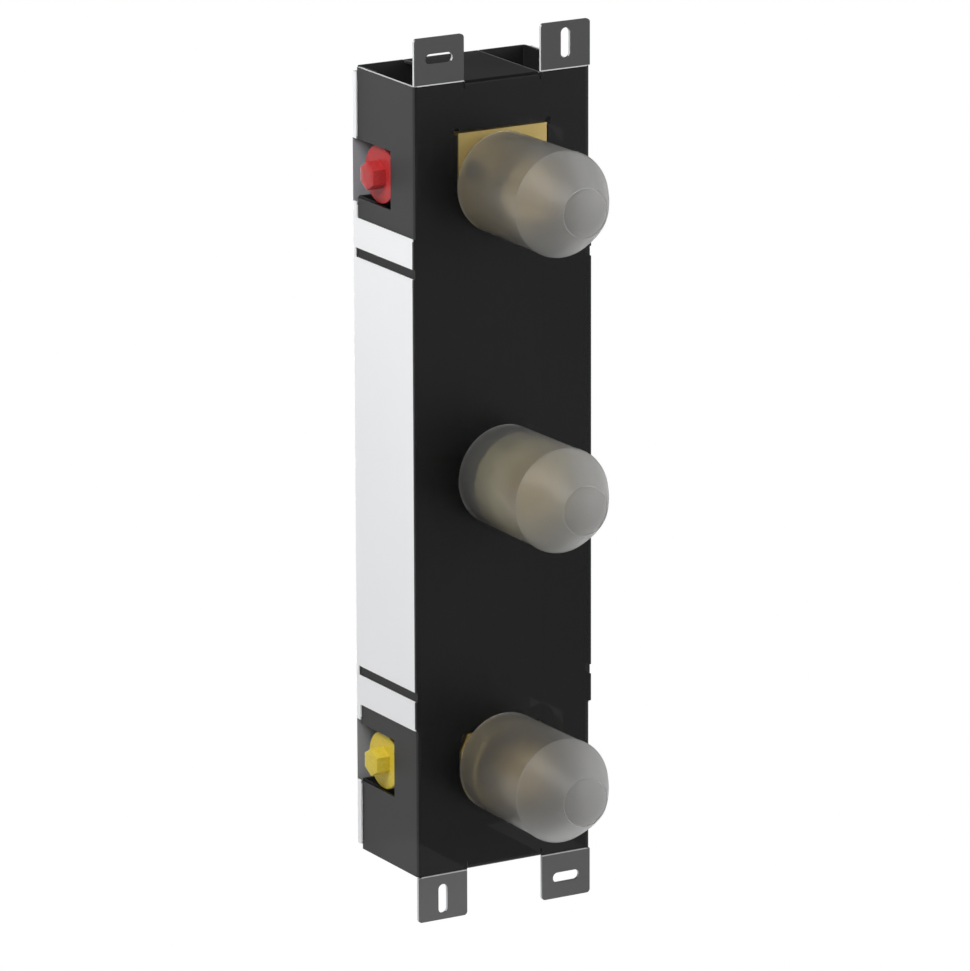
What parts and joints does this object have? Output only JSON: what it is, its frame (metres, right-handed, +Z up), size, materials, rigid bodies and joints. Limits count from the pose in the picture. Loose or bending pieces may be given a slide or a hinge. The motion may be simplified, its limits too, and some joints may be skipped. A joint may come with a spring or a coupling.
{
  "type": "thermostatic shower valve",
  "caption": "Concealed thermostatic shower valve: mixer and stop valves in a tall folded case with slotted tabs, side ports with plugs and frosted guard caps.",
  "frame": {"origin": "middle of the face that lies against the wall, at the height of the middle valve", "axes": "+X to the right seen from the front, -Y out of the wall towards the user, +Z up"},
  "size_m": [0.1476, 0.1928, 0.606],
  "materials": {
    "black_sheet": "satin",
    "white_sheet": "satin",
    "cast_brass": "satin",
    "turned_brass": "turned",
    "zinc_steel": "zinc plated",
    "spring_steel": "bright wire",
    "black_rubber": "moulded",
    "ceramic": "polished",
    "white_plastic": "moulded",
    "dark_plastic": "moulded",
    "blue_plastic": "moulded",
    "red_plastic": "moulded",
    "yellow_plastic": "moulded",
    "frosted_plastic": "frosted, see-through",
    "copper": "drawn"
  },
  "bodies": {
    "valve_unit": {"front_case": "black_sheet", "inner_chassis": "black_sheet", "rear_tray": "white_sheet", "tray_screws": "zinc_steel", "body_screws": "zinc_steel", "mixer_body": "cast_brass", "cartridge_sleeve": "turned_brass", "cartridge_end_ring": "spring_steel", "cartridge_seals": "black_rubber", "retaining_nut": "turned_brass", "return_spring": "spring_steel", "hot_filter": "spring_steel", "cold_filter": "spring_steel", "hot_check_body": "white_plastic", "cold_check_body": "white_plastic", "hot_check_spring": "spring_steel", "cold_check_spring": "spring_steel", "middle_valve_body": "cast_brass", "middle_support_ring": "turned_brass", "middle_headwork": "turned_brass", "middle_fixed_disc": "ceramic", "middle_seat_seal": "black_rubber", "bottom_valve_body": "cast_brass", "bottom_headwork": "turned_brass", "bottom_fixed_disc": "ceramic", "bottom_seat_seal": "black_rubber", "upper_feed_pipe": "copper", "lower_feed_pipe": "copper", "outlet_pipe": "copper", "pipe_seals": "black_rubber", "plug_seals": "black_rubber"},
    "top_cap": {"top_cap": "frosted_plastic"},
    "middle_cap": {"middle_cap": "frosted_plastic"},
    "bottom_cap": {"bottom_cap": "frosted_plastic"},
    "hot_plug": {"hot_plug": "red_plastic"},
    "cold_plug": {"cold_plug": "blue_plastic"},
    "left_outlet_plug": {"left_outlet_plug": "yellow_plastic"},
    "right_outlet_plug": {"right_outlet_plug": "yellow_plastic"},
    "temperature_spindle": {"mixer_spindle": "turned_brass"},
    "regulator": {"regulating_nut": "turned_brass", "wax_element": "copper", "shuttle": "white_plastic"},
    "middle_stop": {"middle_spindle": "turned_brass", "middle_turning_disc": "ceramic"},
    "bottom_stop": {"bottom_spindle": "turned_brass", "bottom_turning_disc": "ceramic"},
    "hot_service_stop": {"hot_service_stop": "dark_plastic"},
    "cold_service_stop": {"cold_service_stop": "dark_plastic"},
    "hot_check": {"hot_check_poppet": "blue_plastic"},
    "cold_check": {"cold_check_poppet": "blue_plastic"}
  },
  "joints": [
    {"name": "top_cap_pull", "type": "slide", "parent": "valve_unit", "child": "top_cap", "axis": [0, -1, 0], "range_m": [0, 0.13]},
    {"name": "middle_cap_pull", "type": "slide", "parent": "valve_unit", "child": "middle_cap", "axis": [0, -1, 0], "range_m": [0, 0.13]},
    {"name": "bottom_cap_pull", "type": "slide", "parent": "valve_unit", "child": "bottom_cap", "axis": [0, -1, 0], "range_m": [0, 0.13]},
    {"name": "hot_plug_pull", "type": "slide", "parent": "valve_unit", "child": "hot_plug", "axis": [-1, 0, 0], "range_m": [0, 0.035]},
    {"name": "cold_plug_pull", "type": "slide", "parent": "valve_unit", "child": "cold_plug", "axis": [1, 0, 0], "range_m": [0, 0.035]},
    {"name": "left_outlet_plug_pull", "type": "slide", "parent": "valve_unit", "child": "left_outlet_plug", "axis": [-1, 0, 0], "range_m": [0, 0.035]},
    {"name": "right_outlet_plug_pull", "type": "slide", "parent": "valve_unit", "child": "right_outlet_plug", "axis": [1, 0, 0], "range_m": [0, 0.035]},
    {"name": "temperature_turn", "type": "hinge", "parent": "valve_unit", "child": "temperature_spindle", "pos_m": [0, -0.082, 0.2], "axis": [0, -1, 0], "range_deg": [-122, 122]},
    {"name": "regulator_slide", "type": "slide", "parent": "valve_unit", "child": "regulator", "axis": [0, 1, 0], "range_m": [-0.001, 0.001]},
    {"name": "middle_stop_turn", "type": "hinge", "parent": "valve_unit", "child": "middle_stop", "pos_m": [0, -0.082, 0], "axis": [0, -1, 0], "range_deg": [0, 90]},
    {"name": "bottom_stop_turn", "type": "hinge", "parent": "valve_unit", "child": "bottom_stop", "pos_m": [0, -0.082, -0.2], "axis": [0, -1, 0], "range_deg": [0, 90]},
    {"name": "hot_service_stop_turn", "type": "hinge", "parent": "valve_unit", "child": "hot_service_stop", "pos_m": [-0.0215, -0.082, 0.2105], "axis": [0, -1, 0], "range_deg": [0, 90]},
    {"name": "cold_service_stop_turn", "type": "hinge", "parent": "valve_unit", "child": "cold_service_stop", "pos_m": [0.0215, -0.082, 0.2105], "axis": [0, -1, 0], "range_deg": [0, 90]},
    {"name": "hot_check_lift", "type": "slide", "parent": "valve_unit", "child": "hot_check", "axis": [1, 0, 0], "range_m": [0, 0.002], "stiffness_N_per_m": 60, "springref_m": -0.002},
    {"name": "cold_check_lift", "type": "slide", "parent": "valve_unit", "child": "cold_check", "axis": [-1, 0, 0], "range_m": [0, 0.002], "stiffness_N_per_m": 60, "springref_m": -0.002}
  ],
  "couplings": [
    {"joint": "temperature_turn", "follows": "regulator_slide", "rad_per_m": 2094}
  ]
}
